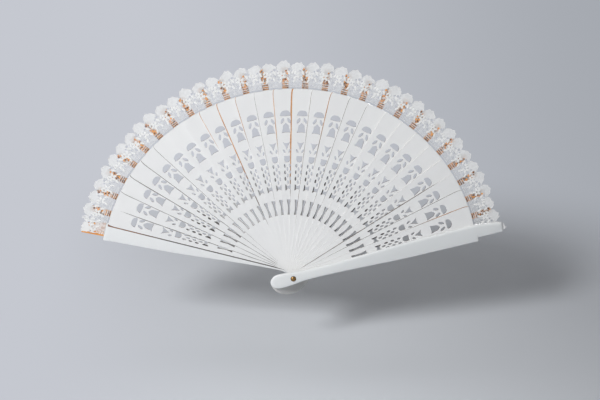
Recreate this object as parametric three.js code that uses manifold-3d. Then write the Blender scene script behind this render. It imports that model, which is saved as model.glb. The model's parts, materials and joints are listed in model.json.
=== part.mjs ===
// Folding fan with pierced wooden sticks between two plain guards, all turning on one brass
// rivet, and a scalloped lace strip glued round the thin tongues at the outer ends.
// Millimetres, +Z up. The open fan stands in the XZ plane and is seen from -Y. The origin
// lies on the rivet's axis, at the outer face of the front guard.
import * as THREE from 'three';
import { mergeVertices } from 'three/addons/utils/BufferGeometryUtils.js';
import Module from 'manifold-3d';

// Opening
const stickCount = 26;
const spreadDegrees = 153.6; // from guard to guard with the lace drawn out

// Sticks
const stickThickness = 0.9;
const layerGap = 0.1; // running gap between neighbours in the stack
const stickHeadWidth = 8.6;
const stickHeadReach = 22; // rivet to the round end
const stickNeckWidth = 7.2;
const stickNeckReach = 16; // rivet to the narrowest place
const stickEndWidth = 22.2;
const bladeOffset = 0.5; // blade's centre line, to the right of the piercings' one
const bladeEnd = 180.5; // rivet to the outer end of the pierced blade
const cornerRun = 9; // length of the eased outer corner, along the stick
const cornerCut = 1.6; // and across it
const tongueWidth = 5.8;
const tongueOffset = 1; // to the right of the piercings' centre line
const tongueLength = 20;

// Guards
const guardThickness = 3;
const guardRound = 0.8; // eased edges
const guardHeadReach = 22;
const guardHeadWidth = 14;
const guardHeadRise = 9; // round end to the widest place of the head
const guardNeckWidth = 9.6;
const guardNeckReach = 18; // rivet to the narrowest place
const guardBellyWidth = 16;
const guardBellyReach = 115; // rivet to where the quick widening ends
const guardShoulderWidth = 17.4;
const guardShoulderLead = 2; // the step to the tip lies this far past the blades' ends
const guardTipWidth = 9.8;
const frontTipLength = 25;
const rearTipLength = 21; // the rear one came out shorter

// Lace strip
const laceThickness = 0.2;
const glueGap = 0.1;
const laceInset = 1; // open line between the blades and the lace
const laceDepth = 25; // inner edge to the scallop tips
const scallopRise = 6; // valley to tip
const scallopsPerStick = 1.5;
const scallopFullness = 0.7; // below 1 makes round scallops with sharp valleys
const laceLapWidth = 0.8; // each length laps over the next one by this much
const laceEndReach = 3.5; // how far the lace end peeks out past the front guard's tip
const columnsPerStick = 12;

// Rivet
const shankRadius = 1.2;
const pivotClearance = 0.1;
const domeRadius = 2.65;
const domeHeight = 1.7;
const washerRadius = 3.1;
const washerThickness = 0.5;
const tailRadius = 2.2;
const tailHeight = 1;
const seatGap = 0.05;
const rivetSides = 14;
const pivotHoleSides = 8;

// Piercing of a stick, from the blade's outer end inwards. A gap is the distance from the hole
// before it, or from the blade's end.
const cap = { gap: 19.9, width: 9.7, height: 4.8, sag: 0.4 };
const leaf = { gap: 1.95, offset: 3.1, width: 2.4, length: 5.7, leanDegrees: -25 };
const bell = { gap: 2.3, mouth: 8.3, waist: 5.6, height: 9.3, arch: 0.5 };
const dart = { gap: 8.6, width: 7.3, length: 7.8, hollow: 1.2 };
const petal = { gap: 1, offset: 2.5, width: 1.6, length: 3.8, leanDegrees: 22 };
const shield = { gap: 2.9, width: 5.6, length: 6.2, base: 2.6 };
const lozenge = { gap: 1.3, offset: 2.3, width: 1.5, length: 3.8, spacing: 2.6 };
const lozengeRows = 3;
const bow = { gap: 0.4, width: 5.2, length: 6, nip: 1.7 };
const hourglass = { gap: 9, length: 15, top: 3.5, waist: 1.6, foot: 3 };

// Values that follow from these
const step = THREE.MathUtils.degToRad(spreadDegrees) / (stickCount + 1);
const layerPitch = stickThickness + layerGap;
const firstLayer = guardThickness + layerGap;
const rearGuardFront = firstLayer + stickCount * layerPitch;
const stackDepth = rearGuardFront + guardThickness;
const relief = laceThickness + glueGap; // tongues and tips are pared down by this for the lace
const tongueEnd = bladeEnd + tongueLength;
const tongueLeft = tongueOffset - tongueWidth / 2;
const guardShoulder = bladeEnd + guardShoulderLead;
const frontTipEnd = guardShoulder + frontTipLength;
const rearTipEnd = guardShoulder + rearTipLength;
const laceStart = bladeEnd + laceInset;
const pivotHoleRadius = (shankRadius + pivotClearance) / Math.cos(Math.PI / pivotHoleSides);
const cutMargin = 1; // how far a cutting block runs past what it cuts

// Places of the piercings, as distances from the rivet
const capBase = bladeEnd - cap.gap - cap.height;
const leafMiddle = capBase - leaf.gap - leaf.length / 2;
const bellBase = leafMiddle - bell.gap - bell.height; // its top stands up between the leaves
const dartTop = bellBase - dart.gap;
const dartPoint = dartTop - dart.length;
const petalMiddle = dartPoint - petal.gap; // on both sides of the dart's point
const shieldTop = petalMiddle - petal.length / 2 - shield.gap;
const shieldBase = shieldTop - shield.length;
const lozengePitch = lozenge.length + lozenge.spacing;
const firstSideLozenge = shieldBase - lozenge.gap - lozenge.length / 2;
const firstMiddleLozenge = firstSideLozenge - lozengePitch / 2;
const lastMiddleLozenge = firstMiddleLozenge - (lozengeRows - 1) * lozengePitch;
const bowTop = lastMiddleLozenge - lozenge.length / 2 - bow.gap;
const bowBase = bowTop - bow.length;
const hourglassTop = bowBase - hourglass.gap;

const paintedWood = new THREE.MeshStandardMaterial({ color: 0xeceae6, roughness: 0.55 });
const paintedGuard = new THREE.MeshStandardMaterial({ color: 0xf0efec, roughness: 0.45 });
const laceCloth = new THREE.MeshStandardMaterial({ color: 0xf6f4ef, roughness: 0.9 });
const brass = new THREE.MeshStandardMaterial({ color: 0xb5893a, roughness: 0.3, metalness: 1 });

const wasm = await Module();
wasm.setup();

function solidOf(geometry) {
  const bare = geometry.clone();
  bare.deleteAttribute('normal');
  bare.deleteAttribute('uv');
  const merged = mergeVertices(bare);
  const mesh = new wasm.Mesh({
    numProp: 3,
    vertProperties: new Float32Array(merged.attributes.position.array),
    triVerts: new Uint32Array(merged.index.array),
  });
  return new wasm.Manifold(mesh);
}

function geometryOf(solid) {
  const mesh = solid.getMesh();
  const geometry = new THREE.BufferGeometry();
  geometry.setAttribute('position', new THREE.BufferAttribute(mesh.vertProperties, 3));
  geometry.setIndex(new THREE.BufferAttribute(mesh.triVerts, 1));
  geometry.computeVertexNormals();
  return geometry;
}

// A flat outline, x across the stick and y along it, becomes a plate that stands along +Z
// with its front face at the given depth.
function plate(shape, thickness, front) {
  const geometry = new THREE.ExtrudeGeometry(shape, { depth: thickness, bevelEnabled: false });
  geometry.rotateX(Math.PI / 2);
  geometry.translate(0, front + thickness, 0);
  return geometry;
}

function block(width, low, high, front, back) {
  const outline = new THREE.Shape();
  outline.moveTo(-width / 2, low);
  outline.lineTo(width / 2, low);
  outline.lineTo(width / 2, high);
  outline.lineTo(-width / 2, high);
  return plate(outline, back - front, front);
}

function polygon(points) {
  return new THREE.Path(points.map(([across, along]) => new THREE.Vector2(across, along)));
}

function curved(path, divisions) {
  return new THREE.Path(path.getPoints(divisions));
}

function regularHole(radius, sides) {
  const corners = Array.from({ length: sides }, (_, corner) => {
    const turn = (2 * Math.PI * (corner + 0.5)) / sides;
    return [radius * Math.cos(turn), radius * Math.sin(turn)];
  });
  return polygon(corners);
}

function capHole() {
  const path = new THREE.Path();
  path.moveTo(-cap.width / 2, capBase);
  path.quadraticCurveTo(0, capBase - 2 * cap.sag, cap.width / 2, capBase);
  path.absellipse(0, capBase, cap.width / 2, cap.height, 0, Math.PI);
  return curved(path, 2);
}

// Two leaves, one on each side of the centre line, leaning like a roof or like a V
function leafPair(form, middle, divisions) {
  return [-1, 1].map((side) => {
    const path = new THREE.Path();
    const lean = -side * THREE.MathUtils.degToRad(form.leanDegrees);
    const upright = Math.PI / 2 + lean;
    const across = side * form.offset;
    path.absellipse(across, middle, form.length / 2, form.width / 2, 0, 2 * Math.PI, false, upright);
    return curved(path, divisions);
  });
}

function bellHole() {
  const middle = bellBase + bell.height / 2;
  const flare = bellBase + bell.height / 4;
  const path = new THREE.Path();
  path.moveTo(-bell.mouth / 2, bellBase);
  path.quadraticCurveTo(0, bellBase + 2 * bell.arch, bell.mouth / 2, bellBase);
  path.quadraticCurveTo(bell.waist / 2, flare, bell.waist / 2, middle);
  path.absellipse(0, middle, bell.waist / 2, bell.height / 2, 0, Math.PI);
  path.quadraticCurveTo(-bell.waist / 2, flare, -bell.mouth / 2, bellBase);
  return curved(path, 2);
}

function dartHole() {
  return polygon([
    [0, dartPoint],
    [dart.width / 2, dartTop],
    [0, dartTop - dart.hollow],
    [-dart.width / 2, dartTop],
  ]);
}

function shieldHole() {
  const middle = (shieldTop + shieldBase) / 2;
  return polygon([
    [-shield.base / 2, shieldBase],
    [shield.base / 2, shieldBase],
    [shield.width / 2, middle],
    [shield.width / 2, shieldTop],
    [-shield.width / 2, shieldTop],
    [-shield.width / 2, middle],
  ]);
}

function lozengeHole(across, middle) {
  return polygon([
    [across, middle - lozenge.length / 2],
    [across + lozenge.width / 2, middle],
    [across, middle + lozenge.length / 2],
    [across - lozenge.width / 2, middle],
  ]);
}

// Rows of two lozenges at the sides, each followed by one in the middle
function lozengeHoles() {
  return Array.from({ length: lozengeRows }, (_, row) => [
    lozengeHole(-lozenge.offset, firstSideLozenge - row * lozengePitch),
    lozengeHole(lozenge.offset, firstSideLozenge - row * lozengePitch),
    lozengeHole(0, firstMiddleLozenge - row * lozengePitch),
  ]).flat();
}

function bowHole() {
  return polygon([
    [-bow.width / 2, bowBase],
    [0, bowBase + bow.nip],
    [bow.width / 2, bowBase],
    [bow.width / 2, bowTop],
    [0, bowTop - bow.nip],
    [-bow.width / 2, bowTop],
  ]);
}

function hourglassHole() {
  const middle = hourglassTop - hourglass.length / 2;
  const base = hourglassTop - hourglass.length;
  return polygon([
    [-hourglass.foot / 2, base],
    [hourglass.foot / 2, base],
    [hourglass.waist / 2, middle],
    [hourglass.top / 2, hourglassTop],
    [-hourglass.top / 2, hourglassTop],
    [-hourglass.waist / 2, middle],
  ]);
}

function stickShape() {
  const headHalf = stickHeadWidth / 2;
  const neckHalf = stickNeckWidth / 2;
  const endHalf = stickEndWidth / 2;
  const headCentre = headHalf - stickHeadReach;
  const cornerStart = bladeEnd - cornerRun;
  const taper = (endHalf - neckHalf) / (bladeEnd - stickNeckReach);
  const cornerHalf = endHalf - taper * cornerRun;
  const [left, right] = [-1, 1].map((side) => (half) => bladeOffset + side * half);
  const tongueRight = tongueOffset + tongueWidth / 2;
  const outline = new THREE.Path();
  outline.absarc(0, headCentre, headHalf, Math.PI, 2 * Math.PI);
  outline.lineTo(right(neckHalf), stickNeckReach);
  outline.lineTo(right(cornerHalf), cornerStart);
  outline.quadraticCurveTo(right(endHalf), bladeEnd, right(endHalf - cornerCut), bladeEnd);
  outline.lineTo(tongueRight, bladeEnd);
  outline.lineTo(tongueRight, tongueEnd);
  outline.lineTo(tongueLeft, tongueEnd);
  outline.lineTo(tongueLeft, bladeEnd);
  outline.lineTo(left(endHalf - cornerCut), bladeEnd);
  outline.quadraticCurveTo(left(endHalf), bladeEnd, left(cornerHalf), cornerStart);
  outline.lineTo(left(neckHalf), stickNeckReach);
  const shape = new THREE.Shape(outline.getPoints(3));
  shape.holes = [
    regularHole(pivotHoleRadius, pivotHoleSides),
    capHole(),
    ...leafPair(leaf, leafMiddle, 3),
    bellHole(),
    dartHole(),
    ...leafPair(petal, petalMiddle, 2),
    shieldHole(),
    ...lozengeHoles(),
    bowHole(),
    hourglassHole(),
  ];
  return shape;
}

// The tongue is pared down from the front, so that the lace lies flush with the blade
function stickGeometry() {
  const blank = solidOf(plate(stickShape(), stickThickness, 0));
  const paring = block(stickEndWidth, bladeEnd, tongueEnd + cutMargin, -cutMargin, relief);
  return geometryOf(blank.subtract(solidOf(paring)));
}

// The guard narrows to its tip in a step at the edge away from the sticks, and in a slant at the other
function guardShape(tipEnd) {
  const headHalf = guardHeadWidth / 2;
  const neckHalf = guardNeckWidth / 2;
  const bellyHalf = guardBellyWidth / 2;
  const shoulderHalf = guardShoulderWidth / 2;
  const widest = guardHeadRise - guardHeadReach;
  const between = (guardNeckReach + widest) / 2;
  const third = (guardBellyReach - guardNeckReach) / 3;
  const early = guardNeckReach + third;
  const late = guardBellyReach - third;
  const lateHalf = bellyHalf - (third * (bellyHalf - neckHalf)) / guardBellyReach;
  const shape = new THREE.Shape();
  shape.moveTo(-guardTipWidth / 2, tipEnd);
  shape.lineTo(-shoulderHalf, guardShoulder);
  shape.lineTo(-bellyHalf, guardBellyReach);
  shape.bezierCurveTo(-lateHalf, late, -neckHalf, early, -neckHalf, guardNeckReach);
  shape.bezierCurveTo(-neckHalf, between, -headHalf, between, -headHalf, widest);
  shape.absellipse(0, widest, headHalf, guardHeadRise, Math.PI, 2 * Math.PI);
  shape.bezierCurveTo(headHalf, between, neckHalf, between, neckHalf, guardNeckReach);
  shape.bezierCurveTo(neckHalf, early, lateHalf, late, bellyHalf, guardBellyReach);
  shape.lineTo(shoulderHalf, guardShoulder);
  shape.lineTo(guardTipWidth / 2, guardShoulder);
  shape.lineTo(guardTipWidth / 2, tipEnd);
  return shape;
}

// A guard with its outer face at depth 0, pared down behind from the blades' ends on for the lace
function guardGeometry(tipEnd) {
  const blank = new THREE.ExtrudeGeometry(guardShape(tipEnd), {
    depth: guardThickness - 2 * guardRound,
    bevelThickness: guardRound,
    bevelSize: guardRound,
    bevelOffset: -guardRound,
    bevelSegments: 2,
    curveSegments: 5,
  });
  blank.rotateX(Math.PI / 2);
  blank.translate(0, guardThickness - guardRound, 0);
  const bore = new THREE.Shape(regularHole(pivotHoleRadius, pivotHoleSides).getPoints());
  const drill = plate(bore, guardThickness + 2 * cutMargin, -cutMargin);
  const paring = block(
    guardShoulderWidth,
    bladeEnd,
    tipEnd + cutMargin,
    guardThickness - relief,
    guardThickness + cutMargin,
  );
  return geometryOf(solidOf(blank).subtract(solidOf(drill)).subtract(solidOf(paring)));
}

// Reach of the scalloped edge at an angle from a stick's centre line. A scallop is centred
// on every second stick, and a valley on those between.
function scallopReach(angle, centred, tipReach) {
  const phase = (Math.PI * scallopsPerStick * angle) / step;
  const swell = Math.abs(centred ? Math.cos(phase) : Math.sin(phase)) ** scallopFullness;
  const valley = laceStart + laceDepth - scallopRise;
  return valley + (tipReach - valley) * swell;
}

// One length of the lace strip as a thin closed sheet. Angles grow to the left of the stick;
// reach gives the outer edge and depth the front face at an angle.
function laceGeometry(angles, reach, depth) {
  const positions = [];
  for (const angle of angles) {
    for (const radius of [laceStart, reach(angle)]) {
      for (const face of [0, laceThickness]) {
        positions.push(-radius * Math.sin(angle), depth(angle) + face, radius * Math.cos(angle));
      }
    }
  }
  const corners = 4;
  const triangles = [];
  for (let column = 0; column < angles.length - 1; column += 1) {
    const [a, b, c, d, e, f, g, h] = Array.from({ length: 2 * corners }, (_, i) => column * corners + i);
    triangles.push(a, c, g, a, g, e);
    triangles.push(b, h, d, b, f, h);
    triangles.push(c, d, h, c, h, g);
    triangles.push(a, f, b, a, e, f);
  }
  const last = (angles.length - 1) * corners;
  triangles.push(0, 1, 3, 0, 3, 2);
  triangles.push(last, last + 3, last + 1, last, last + 2, last + 3);
  const geometry = new THREE.BufferGeometry();
  geometry.setAttribute('position', new THREE.Float32BufferAttribute(positions, 3));
  geometry.setIndex(triangles);
  geometry.computeVertexNormals();
  return geometry;
}

const columnStep = step / columnsPerStick;
const lapAngle = laceLapWidth / laceStart;
const tipAngle = Math.asin(guardTipWidth / 2 / (laceStart + laceDepth));
const laceTip = laceStart + laceDepth;

// Evenly spaced columns between two angles, both included
function columns(from, to) {
  const count = Math.max(1, Math.ceil((to - from) / columnStep - 1e-6));
  return Array.from({ length: count + 1 }, (_, column) => from + ((to - from) * column) / count);
}

// A length on a stick lies flat over the tongue and then slopes back, so that its left edge
// passes just in front of the next length.
function stickLace(centred) {
  const tongueAngle = Math.asin(-tongueLeft / laceStart);
  const flatTo = Math.ceil(tongueAngle / columnStep) * columnStep;
  const end = step / 2 + lapAngle;
  const slope = (stickThickness - laceThickness) / (end - flatTo);
  return laceGeometry(
    [...columns(-step / 2, step / 2), end],
    (angle) => scallopReach(angle, centred, laceTip),
    (angle) => slope * Math.max(0, angle - flatTo),
  );
}

// Behind the front guard's tip the strip ends in a scallop that is drawn out past the tip
function frontGuardLace() {
  const endScallop = step / scallopsPerStick / 2;
  const reach = (angle) => {
    const tipReach = angle < endScallop ? frontTipEnd + laceEndReach : laceTip;
    return scallopReach(angle, true, tipReach);
  };
  const depth = guardThickness - laceThickness;
  return laceGeometry([...columns(-tipAngle, step / 2), step / 2 + lapAngle], reach, () => depth);
}

// The last scallop covers the rear guard's tip
function rearGuardLace() {
  return laceGeometry(
    columns(-step / 2, tipAngle),
    (angle) => scallopReach(angle, true, rearTipEnd),
    () => 0,
  );
}

// Domed head, shank and peened tail in one piece
function rivetGeometry() {
  const profile = new THREE.Path();
  const tailFront = stackDepth + washerThickness + 2 * seatGap;
  profile.absellipse(0, -seatGap, domeRadius, domeHeight, -Math.PI / 2, 0);
  profile.lineTo(shankRadius, -seatGap);
  profile.lineTo(shankRadius, tailFront);
  profile.lineTo(tailRadius, tailFront);
  profile.absellipse(0, tailFront, tailRadius, tailHeight, 0, Math.PI / 2);
  return new THREE.LatheGeometry(onAxis(profile.getPoints(3)), rivetSides);
}

// The two ends of a turned profile lie exactly on the axis
function onAxis(points) {
  points[0].x = 0;
  points[points.length - 1].x = 0;
  return points;
}

function washerGeometry() {
  const bore = shankRadius + pivotClearance;
  const front = stackDepth + seatGap;
  const back = front + washerThickness;
  const corners = [
    [bore, front],
    [washerRadius, front],
    [washerRadius, back],
    [bore, back],
    [bore, front],
  ];
  const profile = corners.map(([radius, depth]) => new THREE.Vector2(radius, depth));
  return new THREE.LatheGeometry(profile, rivetSides);
}

function named(name, geometry, material) {
  const mesh = new THREE.Mesh(geometry, material);
  mesh.name = name;
  return mesh;
}

// One stick or guard with its length of lace, turned about the rivet to its place in the fan
function member(place, front) {
  const group = new THREE.Group();
  group.rotation.y = (step * (stickCount + 1)) / 2 - step * place;
  group.position.y = front;
  return group;
}

const fan = new THREE.Group();

const frontGuard = member(0, 0);
frontGuard.add(named('front_guard', guardGeometry(frontTipEnd), paintedGuard));
frontGuard.add(named('lace_front_guard', frontGuardLace(), laceCloth));
fan.add(frontGuard);

const stick = stickGeometry();
const centredLace = stickLace(true);
const valleyLace = stickLace(false);
for (let place = 1; place <= stickCount; place += 1) {
  const number = String(place).padStart(2, '0');
  const group = member(place, firstLayer + (place - 1) * layerPitch);
  group.add(named(`stick_${number}`, stick, paintedWood));
  group.add(named(`lace_${number}`, place % 2 === 0 ? centredLace : valleyLace, laceCloth));
  fan.add(group);
}

// The rear guard is the front one turned over, so that its outer face looks back
const rearGuard = member(stickCount + 1, rearGuardFront);
const rearBlade = named('rear_guard', guardGeometry(rearTipEnd), paintedGuard);
rearBlade.rotation.z = Math.PI;
rearBlade.position.y = guardThickness;
rearGuard.add(rearBlade);
rearGuard.add(named('lace_rear_guard', rearGuardLace(), laceCloth));
fan.add(rearGuard);

fan.add(named('pivot_rivet', rivetGeometry(), brass));
fan.add(named('rivet_washer', washerGeometry(), brass));

export default fan;
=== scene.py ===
"""Folding fan of pierced white sticks with a lace edge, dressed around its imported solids."""
import json
import math
import random

import bpy
from mathutils import Matrix, Vector

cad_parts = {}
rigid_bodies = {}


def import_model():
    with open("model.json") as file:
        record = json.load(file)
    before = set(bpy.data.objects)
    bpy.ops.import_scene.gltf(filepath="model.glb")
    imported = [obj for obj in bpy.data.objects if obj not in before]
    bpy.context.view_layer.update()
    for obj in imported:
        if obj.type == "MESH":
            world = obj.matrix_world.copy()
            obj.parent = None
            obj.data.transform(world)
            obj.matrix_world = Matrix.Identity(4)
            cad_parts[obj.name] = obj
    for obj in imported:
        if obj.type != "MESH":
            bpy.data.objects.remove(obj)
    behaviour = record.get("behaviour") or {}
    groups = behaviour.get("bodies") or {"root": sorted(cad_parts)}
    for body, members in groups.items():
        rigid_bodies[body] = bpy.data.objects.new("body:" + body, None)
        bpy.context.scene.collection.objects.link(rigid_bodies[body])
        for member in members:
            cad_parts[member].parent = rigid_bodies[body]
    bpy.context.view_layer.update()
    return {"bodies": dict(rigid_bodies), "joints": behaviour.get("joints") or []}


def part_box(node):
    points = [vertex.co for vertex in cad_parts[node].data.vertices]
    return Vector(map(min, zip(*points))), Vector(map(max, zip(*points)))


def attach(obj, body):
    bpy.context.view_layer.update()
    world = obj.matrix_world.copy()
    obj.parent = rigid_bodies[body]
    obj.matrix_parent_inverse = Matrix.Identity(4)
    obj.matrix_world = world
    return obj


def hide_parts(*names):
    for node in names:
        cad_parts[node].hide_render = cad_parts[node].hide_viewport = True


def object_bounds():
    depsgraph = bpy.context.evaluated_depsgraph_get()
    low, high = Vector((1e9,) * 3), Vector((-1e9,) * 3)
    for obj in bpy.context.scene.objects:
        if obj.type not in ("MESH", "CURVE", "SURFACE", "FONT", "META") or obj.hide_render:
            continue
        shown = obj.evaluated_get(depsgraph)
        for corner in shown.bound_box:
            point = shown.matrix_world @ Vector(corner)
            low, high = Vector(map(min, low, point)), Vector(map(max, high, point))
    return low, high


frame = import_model()

# The sticks: thin blades of light wood, painted white on both faces and pierced with one pattern
# by a fretsaw. Each laps over its left neighbour and is threaded on the rivet; the narrow bare
# tongue at the outer end, set back a little, carries the lace.
MM = 0.001  # sizes are written in millimetres, and the scene is in metres
fold = next(joint for joint in frame["joints"] if joint["name"] == "fold")
spread = math.radians(fold["range_deg"][1])
stick_names = sorted(name for name in frame["bodies"] if name.startswith("stick_"))
rear_place = len(stick_names) + 1  # place of the rear guard, counted from the front one
step = spread / rear_place

stick_thickness = 0.9
stick_head_half = 4.3
stick_head_reach = 22.0
stick_neck_left, stick_neck_right = 3.1, 4.1
stick_neck_reach = 16.0
stick_end_left, stick_end_right = 10.6, 11.6
blade_end = 180.5
corner_run = 9.0
corner_cut = 1.6
slots_end = 76.0  # how far out the innermost holes reach
pierced_from, pierced_to = 45.0, 168.0
leaf_pitch = 6.4  # between the rows of small leaves
pivot_hole_radius = 1.38
tongue_left, tongue_right = -1.9, 3.9
tongue_middle = (tongue_left + tongue_right) / 2
tongue_end = 200.5
tongue_root = 0.6  # how far the tongue runs into the blade
tongue_chamfer = 0.8
tongue_setback = 0.3
tongue_thickness = 0.58


def curve_point(stops, t):
    """The point at t, from 0 to 1, of a curve from the first stop to the last, pulled by the others."""
    while len(stops) > 1:
        stops = [tuple((1 - t) * p + t * q for p, q in zip(a, b)) for a, b in zip(stops, stops[1:])]
    return stops[0]


def bent(count, *stops):
    """Points of a line through every other stop, bent towards the stops between, without its end."""
    bends = [stops[k:k + 3] for k in range(0, len(stops) - 2, 2)]
    return [curve_point(bend, i / count) for bend in bends for i in range(count)]


def arc(across, along, half_width, height, start, end, count):
    """Points of a part of an oval, angles in turns, without its end."""
    turns = [2 * math.pi * (start + (end - start) * i / count) for i in range(count)]
    return [(across + half_width * math.cos(t), along + height * math.sin(t)) for t in turns]


def leaf_hole(across, along, width, length, lean):
    """A pointed leaf, leaning to the right with a positive angle in degrees."""
    turn = math.radians(lean)
    count = 20
    points = []
    for i in range(count):
        t = 2 * math.pi * i / count
        side = math.copysign(abs(math.sin(t)) ** 1.25, math.sin(t)) * width / 2
        run = math.cos(t) * length / 2
        points.append((across + side * math.cos(turn) + run * math.sin(turn),
                       along - side * math.sin(turn) + run * math.cos(turn)))
    return points


def blade_side(neck_half, end_half):
    """The right half of a blade's outline, from the round head to the middle of the outer end."""
    taper = (end_half - neck_half) / (blade_end - stick_neck_reach)
    head_centre = stick_head_half - stick_head_reach
    side = arc(0, head_centre, stick_head_half, stick_head_half, -0.25, 0, 10)
    side += [(stick_head_half, head_centre), (neck_half, stick_neck_reach)]
    side += bent(8, (end_half - taper * corner_run, blade_end - corner_run), (end_half, blade_end),
                 (end_half - corner_cut, blade_end))
    side.append((end_half - corner_cut, blade_end))
    return side


def blade_outline():
    right = blade_side(stick_neck_right, stick_end_right)
    left = blade_side(stick_neck_left, stick_end_left)
    return right + [(-across, along) for across, along in reversed(left[1:])]


def piercings():
    """The holes of one stick: the rivet's, then the pattern from the outer end inwards."""
    half, foot, rise = 4.85, 155.8, 4.8
    cap = [(half * math.copysign(abs(math.cos(t)) ** 0.8, math.cos(t)), foot + rise * math.sin(t) ** 0.9)
           for t in [math.pi * i / 20 for i in range(20)]]
    cap += bent(8, (-half, foot), (0, foot - 1.0), (half, foot))
    bell = bent(8, (-4.15, 139.4), (0, 140.4), (4.15, 139.4))
    bell += bent(6, (4.15, 139.4), (2.9, 143.0), (2.8, 146.4), (1.2, 147.9), (0, 149.0),
                 (-1.2, 147.9), (-2.8, 146.4), (-2.9, 143.0), (-4.15, 139.4))
    dart = bent(8, (-3.65, 130.8), (0, 128.4), (3.65, 130.8))
    dart += bent(6, (3.65, 130.8), (1.3, 127.2), (0, 123.0), (-1.3, 127.2), (-3.65, 130.8))
    shield = [(-2.8, 117.2), (2.8, 117.2)]
    shield += bent(6, (2.8, 114.4), (2.6, 111.2), (0, 111.0), (-2.6, 111.2), (-2.8, 114.4)) + [(-2.8, 114.4)]
    bow = [(-2.6, 83.5)] + bent(8, (-2.2, 83.5), (0, 86.9), (2.2, 83.5)) + [(2.2, 83.5), (2.6, 83.5)]
    bow += [(2.6, 89.5)] + bent(8, (2.2, 89.5), (0, 86.1), (-2.2, 89.5)) + [(-2.2, 89.5), (-2.6, 89.5)]
    hourglass = [(-1.75, 74.5), (1.75, 74.5)] + bent(10, (1.7, 73.6), (0.1, 67.0), (1.4, 60.4))
    hourglass += [(1.5, 59.5), (-1.5, 59.5)] + bent(10, (-1.4, 60.4), (-0.1, 67.0), (-1.7, 73.6))
    pivot_hole = arc(0, 0, pivot_hole_radius, pivot_hole_radius, 0, 1, 16)
    holes = [pivot_hole, cap, bell, dart, shield, bow, hourglass]
    for side in (-1, 1):
        holes.append(leaf_hole(3.1 * side, 151.0, 2.6, 5.9, -25 * side))
        holes.append(leaf_hole(2.5 * side, 122.0, 1.8, 4.0, 22 * side))
    for row in range(3):
        for across, along in ((-2.3, 107.8), (2.3, 107.8), (0, 104.6)):
            holes.append(leaf_hole(across, along - leaf_pitch * row, 1.7, 3.9, 0))
    return holes


def mesh_of(name, points, edges, faces):
    mesh = bpy.data.meshes.new(name)
    mesh.from_pydata(points, edges, faces)
    return mesh


def drawing(name, loops):
    """A flat mesh of closed saw lines, across along X and along the stick on Y."""
    points, edges = [], []
    for loop in loops:
        first, count = len(points), len(loop)
        points += [(across * MM, along * MM, 0) for across, along in loop]
        edges += [(first + i, first + (i + 1) % count) for i in range(count)]
    return mesh_of(name, points, edges, [])


def joined(name, meshes):
    """One object of several meshes, linked to the scene."""
    objects = [bpy.data.objects.new(name, mesh) for mesh in meshes]
    for item in objects:
        bpy.context.scene.collection.objects.link(item)
    if len(objects) > 1:
        with bpy.context.temp_override(active_object=objects[0], selected_editable_objects=objects):
            bpy.ops.object.join()
    objects[0].name = name
    return objects[0]


def evaluated(carrier):
    """The plain mesh that an object's modifiers make."""
    depsgraph = bpy.context.evaluated_depsgraph_get()
    return bpy.data.meshes.new_from_object(carrier.evaluated_get(depsgraph), depsgraph=depsgraph)


def add_node(tree, kind, settings, sockets):
    """Adds a node: its settings, then the values or links of its sockets by name or place."""
    node = tree.nodes.new(kind)
    for key, value in (settings or {}).items():
        setattr(node, key, value)
    for key, value in sockets.items():
        if key[0] == "_":
            socket = node.inputs[int(key[1:])]
        else:
            socket = next(s for s in node.inputs if s.enabled and s.name.replace(" ", "_") == key)
        for item in value if isinstance(value, list) else [value]:
            if isinstance(item, bpy.types.NodeSocket):
                tree.links.new(item, socket)
            else:
                socket.default_value = item
    return node


class Tree:
    """Builds a geometry node tree: sizes are named inputs, and nodes are added with their links."""

    def __init__(self, name, *sizes):
        self.group = bpy.data.node_groups.new(name, "GeometryNodeTree")
        interface = self.group.interface
        interface.new_socket("Geometry", in_out="INPUT", socket_type="NodeSocketGeometry")
        self.keys = {}
        for size in sizes:
            socket = interface.new_socket(size, in_out="INPUT", socket_type="NodeSocketFloat")
            self.keys[size] = socket.identifier
        interface.new_socket("Geometry", in_out="OUTPUT", socket_type="NodeSocketGeometry")
        self.source = self.group.nodes.new("NodeGroupInput")

    def size(self, name):
        return self.source.outputs[name]

    def node(self, kind, settings=None, **sockets):
        return add_node(self.group, kind, settings, sockets).outputs[0]

    def finish(self, geometry, material):
        """Ends the tree: everything is made real and takes its material."""
        real = self.node("GeometryNodeRealizeInstances", Geometry=geometry)
        painted = self.node("GeometryNodeSetMaterial", Geometry=real, Material=material)
        self.group.links.new(painted, self.group.nodes.new("NodeGroupOutput").inputs[0])

    def grow(self, name, mesh, **sizes):
        """The plain mesh that the tree makes of a drawing."""
        carrier = joined(name, [mesh])
        modifier = carrier.modifiers.new("nodes", "NODES")
        modifier.node_group = self.group
        for size, value in sizes.items():
            modifier[self.keys[size]] = value
        grown = evaluated(carrier)
        bpy.data.objects.remove(carrier)
        grown.name = name
        return grown


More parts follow.
